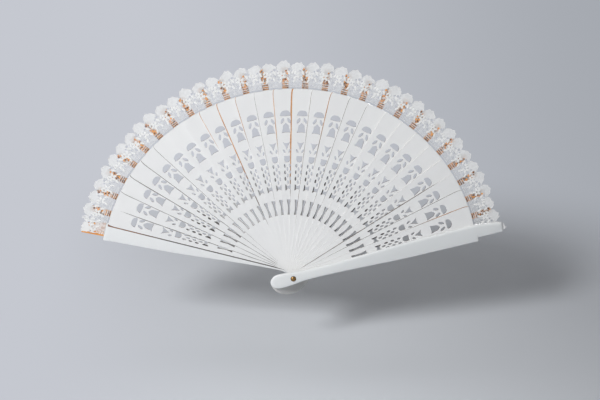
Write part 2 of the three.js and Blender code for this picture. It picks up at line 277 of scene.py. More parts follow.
class Wire:
    """A shader socket that can be used in sums; new nodes hang on the same material."""

    def __init__(self, nodes, socket=None):
        self.nodes = nodes
        self.socket = socket

    def node(self, kind, settings=None, out=0, **sockets):
        """Adds a node of any kind and gives one of its outputs."""
        plain = {key: value.socket if isinstance(value, Wire) else value for key, value in sockets.items()}
        outputs = add_node(self.nodes, kind, settings, plain).outputs
        return Wire(self.nodes, outputs[out] if outputs else None)

    def maths(self, operation, *values):
        return self.node("ShaderNodeMath", {"operation": operation},
                         **{f"_{i}": value for i, value in enumerate(values)})

    def __add__(self, other):
        return self.maths("ADD", self, other)

    __radd__ = __add__

    def __sub__(self, other):
        return self.maths("SUBTRACT", self, other)

    def __rsub__(self, other):
        return self.maths("SUBTRACT", other, self)

    def __mul__(self, other):
        return self.maths("MULTIPLY", self, other)

    __rmul__ = __mul__

    def __truediv__(self, other):
        return self.maths("DIVIDE", self, other)

    def step(self, low, high):
        """0 below low, 1 above high, eased between."""
        return self.node("ShaderNodeMapRange", {"interpolation_type": "SMOOTHSTEP"},
                         _0=self, From_Min=low, From_Max=high)

    def noise(self, vector, scale=1.0, detail=3.0, roughness=0.5):
        return self.node("ShaderNodeTexNoise", Vector=vector, Scale=scale,
                         Detail=detail, Roughness=roughness)

    def mix(self, factor, a, b):
        """A colour between a and b."""
        return self.node("ShaderNodeMix", {"data_type": "RGBA"}, 2, _0=factor, _6=a, _7=b)

    def xyz(self, x, y, z):
        return self.node("ShaderNodeCombineXYZ", X=x, Y=y, Z=z)

    def axes(self, vector):
        split = self.node("ShaderNodeSeparateXYZ", Vector=vector)
        return [Wire(self.nodes, output) for output in split.socket.node.outputs]

    def attribute(self, name, out="Vector"):
        return self.node("ShaderNodeAttribute", {"attribute_name": name}, out)

    def bump(self, height, strength, distance):
        return self.node("ShaderNodeBump", Strength=strength, Distance=distance, Height=height)


def colour(red, green, blue):
    """A colour as a picture shows it, from 0 to 255, as linear light."""
    shares = (red / 255, green / 255, blue / 255)
    light = [c / 12.92 if c <= 0.04045 else ((c + 0.055) / 1.055) ** 2.4 for c in shares]
    return (*light, 1.0)


def new_finish(name):
    """An empty material and the wire that its nodes hang on."""
    material = bpy.data.materials.new(name)
    material.use_nodes = True
    material.node_tree.nodes.clear()
    return material, Wire(material.node_tree)


def close_finish(wire, **sockets):
    """Ends a material in a principled shader."""
    wire.node("ShaderNodeOutputMaterial", Surface=wire.node("ShaderNodeBsdfPrincipled", **sockets))


def bare_wood(wire, across, along, tone):
    """Light wood with its grain along the stick, from pale tan to dark brown with the tone."""
    grain = wire.noise(wire.xyz(across * 1.7, along * 0.09, tone * 37.0), 1.0, 4.0, 0.6)
    fleck = wire.noise(wire.xyz(across * 0.9, along * 0.45, tone * 91.0), 1.0, 2.0)
    pale = wire.mix(tone, colour(228, 178, 122), colour(176, 104, 50))
    dark = wire.mix(tone, colour(186, 122, 66), colour(96, 50, 26))
    return wire.mix((grain * 0.7 + fleck * 0.5).step(0.42, 0.82), pale, dark)


def orange_wood(wire, across, along, tone):
    """The same wood where lacquer has turned it orange."""
    grain = wire.noise(wire.xyz(across * 1.3, along * 0.16, tone * 23.0))
    return wire.mix(grain.step(0.35, 0.7), colour(240, 174, 98), colour(214, 130, 54))


# The paint of a stick stops at the left edge of its neighbour in front, as the fan lies open.
left_taper = (stick_end_left - stick_neck_left) / (blade_end - stick_neck_reach)
left_foot = stick_neck_left - left_taper * stick_neck_reach  # where that edge would pass the rivet
paint_rise = math.sin(step) - left_taper * math.cos(step)
paint_foot = left_foot * math.cos(step)


def stick_finish():
    material, wire = new_finish("painted_stick")
    across, along, depth = wire.axes(wire.attribute("place"))
    tone, bare, start, stop, hidden = (
        wire.attribute(name, "Fac") for name in ("tone", "bare", "start", "stop", "hidden"))
    # White paint, a little thinner along the grain, with soft cloudy patches; painted shade greys the heads.
    cloud = wire.noise(wire.xyz(across * 0.08, along * 0.03, tone * 13.0), 1.0, 2.0)
    streak = wire.noise(wire.xyz(across * 1.6, along * 0.05, tone * 29.0))
    white = wire.mix(cloud, colour(235, 235, 235), colour(243, 243, 242))
    white = wire.mix(streak.step(0.62, 0.9) * 0.35, white, colour(224, 221, 215))
    # painted shade: the heads below the rivet are greyed, where the guard's head shades them
    white = wire.mix(along.step(-14.0, 4.0), colour(206, 205, 203), white)
    # Under the neighbour in front the wood is bare, and so is a strip beside it on some sticks. A tone over 1
    # makes the strip a grey line of painted shadow, for the gap beside the neighbour, instead of brown wood.
    wood = bare_wood(wire, across, along, wire.maths("MINIMUM", tone, 1.0))
    wood = wire.mix((along - tone * 225.0).step(15.0, 45.0), colour(120, 106, 97), wood)
    # painted shadow: a tone over 1 turns the strip dark grey, over 1.5 pale grey
    wood = wire.mix(tone.step(1.0, 1.5), wood, colour(96, 90, 84))
    wood = wire.mix(tone.step(1.5, 2.0), wood, colour(158, 156, 154))
    wobble = wire.noise(wire.xyz(tone * 51.0, along * 0.06, 0.0), 1.0, 2.0)
    corner = 1.0 - wire.maths("SQRT", wire.maths("MAXIMUM", (blade_end - along) / corner_run, 0.0))
    corner = wire.maths("MAXIMUM", corner, 0.0)
    under = across - (along * paint_rise - paint_foot) - corner * corner * corner_cut * 1.15
    run = (along - start).step(0.0, 30.0) * (1.0 - (along - stop).step(0.0, 25.0))
    strip = bare * (0.35 + 1.3 * wobble) * run * (0.65 + 0.35 * along.step(10.0, 90.0))
    front = depth.step(0.6, 0.75) * along.step(4.0, 9.0)
    raw = (under + strip).step(-0.08, 0.08) * front
    # Seen through the holes in front it is dark: bare wood that the spray hardly reached, with painted shade
    # of the narrow gaps.
    slots = hidden * 0.85
    bare_and_shaded = hidden * (slots + (1.0 - slots) * along.step(slots_end, slots_end + 6.0))
    shadowed = wire.mix(bare_and_shaded, colour(220, 220, 220), colour(58, 50, 45))
    wood = wire.mix((under + wire.maths("MINIMUM", bare, 0.0)).step(0.1, 0.5), wood, shadowed)
    # The saw left the walls of the holes raw and scorched; the outer edges were painted, and are greyed with
    # painted shade.
    half = along * left_taper + left_foot
    pierced = along.step(pierced_from - 5.0, pierced_from) * (1.0 - along.step(pierced_to, pierced_to + 2.0))
    inside = (half - wire.maths("ABSOLUTE", across)).step(0.4, 0.8) * pierced
    sawn = depth.step(0.02, 0.06) * (1.0 - depth.step(stick_thickness - 0.06, stick_thickness - 0.02))
    wall = sawn * inside
    burnt = wire.mix(cloud, colour(104, 62, 44), colour(70, 62, 56))
    # painted shade: the painted walls of the outline are greyed
    white = wire.mix(sawn * 0.6, white, colour(212, 212, 210))
    # The tongue is orange wood, dark at its root and in spots: glue stain and painted shade.
    tongue = along.step(blade_end + 0.2, blade_end + 1.0)
    # painted shade: the root darkens where the gap beside the blade's end shades it
    root = 0.45 - (along - blade_end).step(2.4, 3.6) * 0.3 - (along - blade_end).step(5.0, 8.0) * 0.15
    # painted shade: the dark spots stand for the lace's shadow on the wood, with glue stain
    spot = wire.node("ShaderNodeTexVoronoi", Vector=wire.xyz(across, along, tone * 40.0), Scale=0.5)
    stain = wire.maths("MAXIMUM", root, 1.0 - (spot - hidden * 0.2).step(0.38, 0.54))
    tip_wood = orange_wood(wire, across, along, tone)
    tip_wood = wire.mix(stain * depth.step(0.2, 0.45) * 0.9, tip_wood, colour(80, 42, 24))
    paint = wire.mix(raw, white, wood)
    paint = wire.mix(wall, paint, burnt)
    paint = wire.mix(tongue, paint, tip_wood)
    rough = wire.maths("MAXIMUM", wire.maths("MAXIMUM", raw, wall), tongue)
    grain = wire.noise(wire.xyz(across * 3.0, along * 0.12, tone * 7.0))
    relief = wire.bump(grain, 0.12, 0.0002)
    close_finish(wire, Base_Color=paint, Roughness=0.46 + rough * 0.26, Normal=relief)
    return material


def stick_tree():
    """Saw lines become a plate, which is turned about the rivet to its place in the fan."""
    notes = ("Bare", "Tone", "Start", "Stop", "Hidden")
    tree = Tree("stick", "Thickness", "Turn", "Depth", *notes)
    lines = tree.node("GeometryNodeMeshToCurve", Mesh=tree.source.outputs[0])
    face = tree.node("GeometryNodeFillCurve", {"mode": "TRIANGLES"}, Curve=lines)
    raised = tree.node("GeometryNodeExtrudeMesh", {"mode": "FACES"}, Mesh=face, Offset=(0, 0, 1),
                       Offset_Scale=tree.size("Thickness"), Individual=False)
    back = tree.node("GeometryNodeFlipFaces", Mesh=face)
    plate = tree.node("GeometryNodeJoinGeometry", Geometry=[raised, back])
    plate = tree.node("GeometryNodeMergeByDistance", Geometry=plate, Distance=1e-6)
    place = tree.node("ShaderNodeVectorMath", {"operation": "SCALE"},
                      Vector=tree.node("GeometryNodeInputPosition"), Scale=1 / MM)
    plate = tree.node("GeometryNodeStoreNamedAttribute", {"data_type": "FLOAT_VECTOR"},
                      Geometry=plate, Name="place", Value=place)
    for name in notes:
        plate = tree.node("GeometryNodeStoreNamedAttribute", {"data_type": "FLOAT"},
                          Geometry=plate, Name=name.lower(), Value=tree.size(name))
    upright = tree.node("GeometryNodeTransform", Geometry=plate, Rotation=(math.pi / 2, 0, 0))
    turn = tree.node("ShaderNodeCombineXYZ", Y=tree.size("Turn"))
    depth = tree.node("ShaderNodeCombineXYZ", Y=tree.size("Depth"))
    placed = tree.node("GeometryNodeTransform", Geometry=upright, Rotation=turn, Translation=depth)
    tree.finish(placed, stick_finish())
    return tree


def turn_of(place):
    """Turn of a member about the rivet, counted from the front guard."""
    return spread / 2 - step * place


# Unpainted strip beside the neighbour in front: width in mm, tone of its wood, and where along the stick it
# starts; two of them fade out early. A tone over 1 makes it a grey line of painted shadow instead of bare
# wood. The guard covers less of the first stick than a neighbour would.
bare_strips_and_shadow_lines = {1: (-4.0, 0.4, 0), 2: (0.5, 0.5, 110), 3: (0.3, 1.5, 20), 4: (0.65, 1.2, -15),
               10: (0.25, 1.5, 60), 11: (0.3, 1.5, 60), 12: (0.6, 0.5, 100), 13: (0.3, 0.8, 40),
               14: (1.2, 0.3, 70), 15: (0.55, 0.45, 110), 16: (0.25, 1.5, 60), 17: (0.45, 0.5, 120),
               18: (0.9, 0.35, 45), 19: (0.5, 0.45, 130), 22: (0.5, 1.5, -15), 23: (0.7, 1.5, -15),
               24: (0.9, 1.55, -15), 25: (0.9, 1.75, -15), 26: (1.1, 1.75, -15)}
strip_stops = {4: 145, 26: 158}
wood_tones = random.Random(11)
blade_lines = drawing("blade_lines", [blade_outline(), *piercings()])
tongue_lines = drawing("tongue_lines", [[
    (tongue_left, blade_end - tongue_root), (tongue_right, blade_end - tongue_root),
    (tongue_right, tongue_end - tongue_chamfer), (tongue_right - tongue_chamfer, tongue_end),
    (tongue_left + tongue_chamfer, tongue_end), (tongue_left, tongue_end - tongue_chamfer)]])
stick_maker = stick_tree()
for place, name in enumerate(stick_names, start=1):
    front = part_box(name)[0].y
    bare, tone, start = bare_strips_and_shadow_lines.get(place, (0.0, 0.5, 0))
    stop = strip_stops.get(place, tongue_end)
    # How dark the covered wood shows through the holes: bare wood, with painted shade of the gaps.
    hidden = 0.9 if place > 23 else max(0.2, min(1.0, (22 - place) / 11))  # how dark its covered wood is
    tongue_tone = wood_tones.uniform(0.1, 0.7)
    # how many dark spots its tongue has: glue stain and painted shade of the lace
    tongue_stain_and_shade = 0.5 if place < 4 else 0.1
    blade = stick_maker.grow(f"blade_{place:02d}", blade_lines, Thickness=stick_thickness * MM,
                             Turn=turn_of(place), Depth=front + stick_thickness * MM,
                             Bare=bare, Tone=tone, Start=float(start), Stop=float(stop), Hidden=hidden)
    tongue = stick_maker.grow(f"tongue_{place:02d}", tongue_lines, Thickness=tongue_thickness * MM,
                              Turn=turn_of(place), Depth=front + (tongue_setback + tongue_thickness) * MM,
                              Bare=0.0, Tone=tongue_tone, Start=0.0, Stop=0.0, Hidden=tongue_stain_and_shade)
    piece = joined(f"pierced_{name}", [blade, tongue])
    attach(piece, name)
    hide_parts(name)

# The guards: two stout outer sticks of the same wood, sanded round and painted white, with a
# bulbous head at the rivet and a tip that is stepped in on one side and slants on the other. The
# rear one is the front one turned over; its tip was left bare on the inner face.
guard_thickness = 3.0
guard_head_reach = 22.0
guard_head_rise = 9.0
guard_head_half = 7.0
guard_widest = guard_head_rise - guard_head_reach  # where along the guard its head is widest
guard_neck_reach = 18.0
guard_neck_half = 4.8
guard_swell_reach = 115.0
guard_swell_half = 8.0
guard_swell_pull = (32.3, 0.9)  # along and across, of the curve between neck and swell
guard_shoulder = 182.5
guard_shoulder_half = 8.7
front_tip_end = 207.5
rear_tip_end = 203.5
guard_tip_half = 4.9
guard_tip_setback = 0.3
outer_ease = (4.2, 1.3)  # how wide and how deep the outer edges are rounded
inner_ease = (0.8, 0.7)
sharp = 0.01  # sections this far apart make a sharp step
rear_bare_and_shadow_strip = 1.4
guard_wood_tone = 0.85


def curved(count, *stops):
    """Points of one curve from the first stop to the last, without its start."""
    return [curve_point(stops, i / count) for i in range(1, count + 1)]


def guard_stations(tip_end):
    """Places along a guard from the head to the tip, with its reach to the sticks' side and to the other."""
    head = (guard_widest, guard_head_half)
    neck = (guard_neck_reach, guard_neck_half)
    swell = (guard_swell_reach, guard_swell_half)
    between = (guard_neck_reach + guard_widest) / 2
    pull_along, pull_across = guard_swell_pull
    widening = (guard_shoulder_half - guard_swell_half) / (guard_shoulder - guard_swell_reach)
    even = [(guard_widest - guard_head_rise * math.cos(t), guard_head_half * math.sin(t))
            for t in [math.pi / 2 * (i / 12) ** 1.2 for i in range(1, 13)]]
    even += curved(12, head, (between, guard_head_half), (between, guard_neck_half), neck)
    even += curved(16, neck, (guard_neck_reach + pull_along, guard_neck_half),
                   (guard_swell_reach - pull_along, guard_swell_half - pull_across), swell)
    even += [(along, guard_swell_half + widening * (along - guard_swell_reach)) for along in (
        135.0, 155.0, 170.0, 178.0, blade_end - sharp, blade_end + sharp,
        guard_shoulder - 1.1, guard_shoulder - 0.5, guard_shoulder - 0.15, guard_shoulder)]
    stations = [(along, half, half) for along, half in even]
    slant = (guard_shoulder_half - guard_tip_half) / (tip_end - guard_shoulder)
    return stations + [(tip_end - short, guard_tip_half + slant * short, guard_tip_half) for short in (
        tip_end - guard_shoulder - sharp, 14.0, 9.0, 3.0, 1.8, 1.0, 0.4, 0.1, 0.0)]


def eased(distance, ease):
    """How far a face drops at a distance from its edge, over a quarter of an oval."""
    wide, deep = ease
    t = 1 - min(1.0, max(0.0, distance / wide))
    return deep * (1 - math.sqrt(1 - t * t))


def guard_mesh(name, tip_end):
    """A guard standing along +Z with its outer face at depth 0, as sections strung along it."""
    points, faces = [], []
    marks = (0.0, 0.05, 0.15, 0.32, 0.6, 1.0)
    for along, left, right in guard_stations(tip_end):
        outer = [min(outer_ease[0], left) * m - left for m in marks] + [0.0]
        outer += [right - min(outer_ease[0], right) * m for m in marks[::-1]]
        inner = [right - min(inner_ease[0], right) * m for m in (0.0, 0.2, 0.5, 1.0)]
        inner += [min(inner_ease[0], left) * m - left for m in (1.0, 0.5, 0.2, 0.0)]
        for across, ease in [(a, outer_ease) for a in outer] + [(a, inner_ease) for a in inner]:
            distance = min(right - across, across + left, tip_end - along)
            if along < guard_widest:
                oval = math.hypot(across / guard_head_half, (along - guard_widest) / guard_head_rise)
                distance = min(distance, (1 - oval) * (guard_head_half + guard_head_rise) / 2)
            if across > guard_tip_half and along <= guard_shoulder:
                distance = min(distance, guard_shoulder - along)
            if ease is outer_ease:
                depth = eased(distance, ease)
            else:
                depth = guard_thickness - eased(distance, ease)
                depth = min(depth, guard_thickness - guard_tip_setback) if along > blade_end else depth
            points.append((across * MM, depth * MM, along * MM))
    ring = len(outer) + len(inner)
    count = len(points) // ring
    for i in range(count - 1):
        for j in range(ring):
            k = (j + 1) % ring
            faces.append((i * ring + j, i * ring + k, (i + 1) * ring + k, (i + 1) * ring + j))
    faces.append(tuple(range(ring))[::-1])
    faces.append(tuple(range((count - 1) * ring, count * ring)))
    return mesh_of(name, points, [], faces)


def smooth(mesh, sharp_from):
    """Shades a mesh smooth, apart from its sharp edges."""
    for polygon in mesh.polygons:
        polygon.use_smooth = True
    mesh.set_sharp_from_angle(angle=math.radians(sharp_from))


def turned_piece(name, profile, sides=40):
    """A closed turned shape about the Y axis from (radius, depth) points in mm."""
    points, faces, rings = [], [], []
    for radius, depth in profile:
        if radius < 1e-6:
            rings.append([len(points)])
            points.append((0, depth * MM, 0))
        else:
            rings.append(list(range(len(points), len(points) + sides)))
            for i in range(sides):
                turn = 2 * math.pi * i / sides
                points.append((radius * math.cos(turn) * MM, depth * MM, radius * math.sin(turn) * MM))
    for low, high in zip(rings, rings[1:] + ([] if len(rings[0]) == 1 else [rings[0]])):
        for i in range(sides):
            j = (i + 1) % sides
            if len(low) == 1:
                faces.append((low[0], high[i], high[j]))
            elif len(high) == 1:
                faces.append((low[i], high[0], low[j]))
            else:
                faces.append((low[i], high[i], high[j], low[j]))
    mesh = mesh_of(name, points, [], faces)
    smooth(mesh, 35)
    return mesh


def drilled(mesh, radius, depth):
    """The mesh with a round hole through it along Y."""
    carrier = joined("guard_blank", [mesh])
    profile = [(0, -1), (radius, -1), (radius, depth + 1), (0, depth + 1)]
    drill = joined("drill", [turned_piece("drill", profile, 24)])
    cut = carrier.modifiers.new("bore", "BOOLEAN")
    cut.operation = "DIFFERENCE"
    cut.solver = "EXACT"
    cut.object = drill
    bored = evaluated(carrier)
    for spare in (carrier, drill):
        bpy.data.objects.remove(spare)
    return bored


def note(mesh, name, kind, values):
    """Writes a named value on every point of a mesh."""
    mesh.attributes.new(name, kind, "POINT")
    field = "vector" if kind == "FLOAT_VECTOR" else "value"
    for item, value in zip(mesh.attributes[name].data, values):
        setattr(item, field, value)


def guard_finish():
    material, wire = new_finish("painted_guard")
    across, along, depth = wire.axes(wire.attribute("place"))
    # White paint, greyed on the outer face by painted shade, less of it near the rivet.
    cloud = wire.noise(wire.xyz(across * 0.06, along * 0.02, depth * 0.1), 1.0, 2.0)
    streak = wire.noise(wire.xyz(across * 1.2, along * 0.03, depth * 1.2))
    white = wire.mix(cloud, colour(234, 236, 237), colour(242, 243, 242))
    # painted shade: the outer face is painted greyer, and lighter again near the rivet
    shaded_white = wire.mix(cloud, colour(220, 223, 224), colour(227, 229, 229))
    shaded_white = wire.mix(along.step(10.0, 90.0), colour(233, 235, 235), shaded_white)
    white = wire.mix(depth.step(0.02, 0.5), shaded_white, white)
    white = wire.mix(streak.step(0.62, 0.9) * 0.3, white, colour(219, 218, 214))
    # On the rear guard the paint stops short of the last stick, and of the tip behind the lace.
    tone = wire.attribute("tone", "Fac")
    unpainted = wire.attribute("bare", "Fac")
    rear = unpainted.step(0.1, 0.2)
    wood = bare_wood(wire, across, along, tone)
    edge = along * paint_rise - paint_foot
    strip = (unpainted - across - edge).step(-0.08, 0.08)
    strip = strip * depth.step(guard_thickness - 0.3, guard_thickness - 0.2) * rear
    tip = along.step(guard_shoulder - 0.1, guard_shoulder) * depth.step(1.6, 2.2) * rear
    bare = wire.maths("MAXIMUM", tip, strip)
    # painted shadow: the strip is dark grey towards the rivet for the gap beside the last stick, and dark
    # brown wood further out
    gap_shade_and_wood = wire.mix(along.step(120.0, 165.0), colour(88, 82, 80), wire.mix(0.5, wood, colour(84, 52, 48)))
    wood = wire.mix(tip, gap_shade_and_wood, orange_wood(wire, across, along, tone))
    grain = wire.noise(wire.xyz(across * 2.0, along * 0.08, depth * 2.0))
    relief = wire.bump(grain, 0.1, 0.0002)
    close_finish(wire, Base_Color=wire.mix(bare, white, wood), Roughness=0.38 + bare * 0.3, Normal=relief)
    return material


guard_paint = guard_finish()
for name, place, tip_end, bare in (
        ("front_guard", 0, front_tip_end, 0.0),
        ("rear_guard", rear_place, rear_tip_end, rear_bare_and_shadow_strip)):
    mesh = drilled(guard_mesh(f"{name}_blank", tip_end), pivot_hole_radius, guard_thickness)
    note(mesh, "place", "FLOAT_VECTOR", [(v.co.x / MM, v.co.z / MM, v.co.y / MM) for v in mesh.vertices])
    note(mesh, "tone", "FLOAT", [guard_wood_tone] * len(mesh.vertices))
    note(mesh, "bare", "FLOAT", [bare] * len(mesh.vertices))
    if place == rear_place:
        mesh.transform(Matrix.Translation((0, guard_thickness * MM, 0)) @ Matrix.Rotation(math.pi, 4, "Z"))
    mesh.transform(Matrix.Translation((0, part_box(name)[0].y, 0)) @ Matrix.Rotation(turn_of(place), 4, "Y"))
    mesh.materials.clear()
    mesh.materials.append(guard_paint)
    piece = joined(f"rounded_{name}", [mesh])
    smooth(mesh, 40)
    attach(piece, name)
    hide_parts(name)

# The lace strip: a band of fine white net, embroidered with flowers and leaves in thick cotton
# and edged with scallops, glued over the tongues and the guards' tips. Each stick carries its own
# length of it, which slopes back to lap over the next one.
lace_start = 181.5
lace_tip = 206.5
scallop_rise = 6.0
scallops_per_stick = 1.5
scallop_fullness = 0.55
lace_thickness = 0.2
lace_lap = 0.8 / lace_start
lace_end_reach = 3.5
lace_end_cover = 1.0  # how far the last scallop runs past the rear guard's tip
end_fullness = 0.35
end_width = 0.7  # the strip ends short of the rear guard's lower edge
guard_tip_angle = math.asin(guard_tip_half / lace_tip)
scallop = step / scallops_per_stick
hem_end = 187.2  # where the hem gives way to open meshes
scallops_start = 196.0  # and those to the close net of the scallops
net_scale = 0.42  # meshes of the net to a millimetre
weave_radius = 190.0  # where places along the strip are measured
half_scallop = scallop * weave_radius / 2
flat_radius = 195.0  # where the width of a flat length is measured
cover_share = 0.93  # what the scallops and openings leave of a length's area
thread_radius = 0.16
edge_inset, hem_inset = 0.5, 1.2
petal_thickness = 0.2
petal_lift = 0.06
petal_margin = 0.005  # angle at each end of a length that has no petals
flower_radius = 193.4
flower_shift = 1.6
flower_ring = 2.3
inner_leaf, outer_leaf = 188.0, 195.0

# Open eyelets in half a scallop: distance from its middle, distance from the rivet and radius.
eyelets = ((0.0, flower_radius, 0.7), (3.4, 189.6, 1.0), (3.6, 197.4, 1.0),
           (6.2, 193.2, 1.1), (6.2, 198.6, 1.3))


class Length:
    """One length of the strip: where it starts and ends, its outer edge and how it slopes."""

    def __init__(self, place):
        self.place = place
        self.last = place == rear_place
        self.centred = place % 2 == 0 or self.last  # whether a scallop stands over its middle
        self.slip = 4.5 if self.last else 0.0  # glue has cleared the last length at its lower edge
        self.layers = 2.6 if self.last else 1.0  # and its end is turned under
        self.low = -guard_tip_angle if place == 0 else -step / 2
        self.high = guard_tip_angle * end_width if self.last else step / 2 + lace_lap
        twelfth = step / 12
        self.flat_to = twelfth * math.ceil(math.asin(-tongue_left / lace_start) / twelfth)
        fall = (stick_thickness - lace_thickness) / (step / 2 + lace_lap - self.flat_to)
        self.slope = fall if 0 < place < rear_place else 0.0
        if place == 0:
            self.node, self.body = "lace_front_guard", "front_guard"
        elif self.last:
            self.node, self.body = "lace_rear_guard", "rear_guard"
        else:
            self.node, self.body = f"lace_{place:02d}", f"stick_{place:02d}"
        self.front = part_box(self.node)[0].y / MM

    def reach(self, angle):
        """Outer edge at an angle; no two scallops came out quite alike, and all are frilled."""
        turned = angle if self.last else self.place * step + angle
        number = round(turned / scallop)
        within = turned / scallop - number
        lot = random.Random(number)
        tip = lace_tip + 0.8 - lot.uniform(0.0, 2.4)
        within += lot.uniform(-0.15, 0.15) * (1 - 4 * within * within)
        frill = 0.5 * math.sin(2 * math.pi * (3.2 * within + lot.random()))
        fullness = scallop_fullness
        if self.place == 0 and angle < scallop / 2:
            tip = front_tip_end + lace_end_reach
        if self.last:
            tip, fullness = rear_tip_end + lace_end_cover, end_fullness
        swell = max(0.0, math.cos(math.pi * within)) ** fullness
        notch = random.Random(math.floor(turned / scallop) + 100)
        valley = lace_tip - scallop_rise - notch.uniform(-0.6, 1.2)
        return valley + (tip - valley + frill) * swell

    def spot(self, angle, radius, lift=0.0):
        """A point of the length in metres, in the fan; lift is towards the front, in mm."""
        depth = self.front + self.slope * max(0.0, angle - self.flat_to) + lace_thickness / 2 - lift
        point = Vector((-radius * math.sin(angle), depth, radius * math.cos(angle))) * MM
        return Matrix.Rotation(turn_of(self.place), 4, "Y") @ point


def net_finish():
    """Fine net: rows of thread at the hem, then irregular meshes, then close-set scallops. Glue
    has made it nearly clear over the tongues."""
    material, wire = new_finish("lace_net")
    along, radius, rim = wire.axes(wire.attribute("weave"))
    place = wire.xyz(along, radius, 0.0)
    gap = wire.node("ShaderNodeTexVoronoi", {"feature": "DISTANCE_TO_EDGE"}, Vector=place, Scale=net_scale)
    lot = wire.axes(wire.node("ShaderNodeTexVoronoi", None, "Color", Vector=place, Scale=net_scale))[0]
    thread = 1.0 - gap.step(0.05, 0.15)
    fine = wire.noise(place, 2.4, 2.0)
    patch = wire.noise(place, 0.45, 2.0)
    off_tongue = wire.maths("PINGPONG", along + tongue_middle, step * weave_radius / 2)
    clear = 1.0 - off_tongue.step(2.2, 3.4)
    row = wire.maths("PINGPONG", radius - lace_start, 1.0).step(0.45, 0.65)
    hem = 0.15 + fine * 0.18 + lot.step(0.4, 0.8) * 0.18 + clear * (row * 0.6 - 0.2)
    plain = 0.2 + patch * 0.24 + thread * 0.1 + lot.step(0.62, 0.78) * 0.16
    glued = 0.03 + thread * 0.36 + lot.step(0.72, 0.8) * 0.6
    meshes = plain + clear * (glued - plain)
    scallops = 0.56 + patch * 0.26 + fine * 0.16
    cover = hem * (radius - lace_start).step(0.2, 2.0)
    cover = cover + (radius + patch * 2.0).step(hem_end, hem_end + 1.8) * (meshes - cover)
    cover = cover + (radius + patch * 3.0).step(scallops_start, scallops_start + 3.5) * (scallops - cover)
    cover = wire.maths("MAXIMUM", cover, (1.0 - rim.step(0.4, 1.8)) * (0.35 + patch * 0.8))
    cover = cover * (rim + fine * 1.4).step(0.5, 1.0)
    # Between some of the scallops the net is slit.
    off_valley = half_scallop - wire.maths("PINGPONG", along, half_scallop)
    slit = (1.0 - off_valley.step(0.2, 1.2)) * radius.step(scallops_start - 0.5, scallops_start + 3.5)
    some = wire.noise(wire.xyz(along * 0.08, 0.0, 0.0)).step(0.35, 0.6)
    cover = cover * (1.0 - slit * some * 0.8)
    side = wire.maths("PINGPONG", along - flower_shift, half_scallop)
    for across, reach, size in eyelets:
        away = wire.node("ShaderNodeVectorMath", {"operation": "LENGTH"}, "Value",
                         _0=wire.xyz(side - across, radius - reach, 0.0))
        cover = cover * away.step(size * 0.7, size)
    cover = 1.0 - wire.maths("POWER", 1.0 - cover, wire.attribute("layers", "Fac"))
    close_finish(wire, Base_Color=colour(240, 240, 239), Roughness=0.85, Alpha=cover)
    return material


def thread_finish():
    """Thick white cotton in satin stitch, with the stitches as fine ribs."""
    material, wire = new_finish("lace_thread")
    place = wire.node("ShaderNodeTexCoord", None, "Object")
    tint = wire.noise(place, 900.0, 2.0)
    ribs = wire.noise(place, 4200.0, 1.0)
    relief = wire.bump(ribs, 0.35, 0.0001)
    close_finish(wire, Base_Color=wire.mix(tint, colour(232, 232, 230), colour(246, 246, 245)),
                 Roughness=0.7, Normal=relief, Sheen_Weight=0.2)
    return material


def thread_tree():
    """A drawing becomes embroidery: its lines turn into cords, its lone points into petals."""
    tree = Tree("embroidery", "Thread")
    drawn = tree.source.outputs[0]
    lines = tree.node("GeometryNodeMeshToCurve", Mesh=drawn)
    profile = tree.node("GeometryNodeCurvePrimitiveCircle", {"mode": "RADIUS"}, Resolution=5,
                        Radius=tree.size("Thread"))
    cords = tree.node("GeometryNodeCurveToMesh", Curve=lines, Profile_Curve=profile)
    petal = tree.node("GeometryNodeMeshUVSphere", Segments=8, Rings=5, Radius=0.5)
    turn, size, lone = (
        tree.node("GeometryNodeInputNamedAttribute", {"data_type": kind}, Name=name)
        for name, kind in (("lean", "FLOAT_VECTOR"), ("girth", "FLOAT_VECTOR"), ("petal", "BOOLEAN")))
    stitched = tree.node("GeometryNodeInstanceOnPoints", Points=drawn, Selection=lone, Instance=petal,
                         Rotation=turn, Scale=size)
    tree.finish(tree.node("GeometryNodeJoinGeometry", Geometry=[cords, stitched]), thread_finish())
    return tree


def lace_sheet(length, columns=40, rows=12):
    """The net of one length, with its place in the weave on it."""
    points, faces, weave = [], [], []
    for i in range(columns + 1):
        angle = length.low + (length.high - length.low) * i / columns
        outer = length.reach(angle)
        for j in range(rows + 1):
            radius = lace_start + (outer - lace_start) * j / rows
            points.append(length.spot(angle, radius))
            weave.append(((length.place * step + angle) * weave_radius - length.slip, radius, outer - radius))
    for i in range(columns):
        for j in range(rows):
            corner = i * (rows + 1) + j
            faces.append((corner, corner + rows + 1, corner + rows + 2, corner + 1))
    mesh = mesh_of(f"{length.node}_net", points, [], faces)
    note(mesh, "weave", "FLOAT_VECTOR", weave)
    note(mesh, "layers", "FLOAT", [length.layers] * len(weave))
    return mesh


def stitch_drawing(cords, petals, length):
    """A mesh of thread lines, with a lone point for each petal that notes its lean and size."""
    points, edges = [], []
    for cord in cords:
        edges += [(len(points) + i, len(points) + i + 1) for i in range(len(cord) - 1)]
        points += cord
    plain = len(points)
    mesh = mesh_of("stitch_lines", points + [spot for spot, *_ in petals], edges, [])
    note(mesh, "petal", "BOOLEAN", [False] * plain + [True] * len(petals))
    note(mesh, "lean", "FLOAT_VECTOR", [(0, 0, 0)] * plain
         + [(0, turn_of(length.place) - turn, 0) for _, turn, _, _ in petals])
    note(mesh, "girth", "FLOAT_VECTOR", [(0, 0, 0)] * plain
         + [(width * MM, petal_thickness * MM, long * MM) for _, _, width, long in petals])
    return mesh


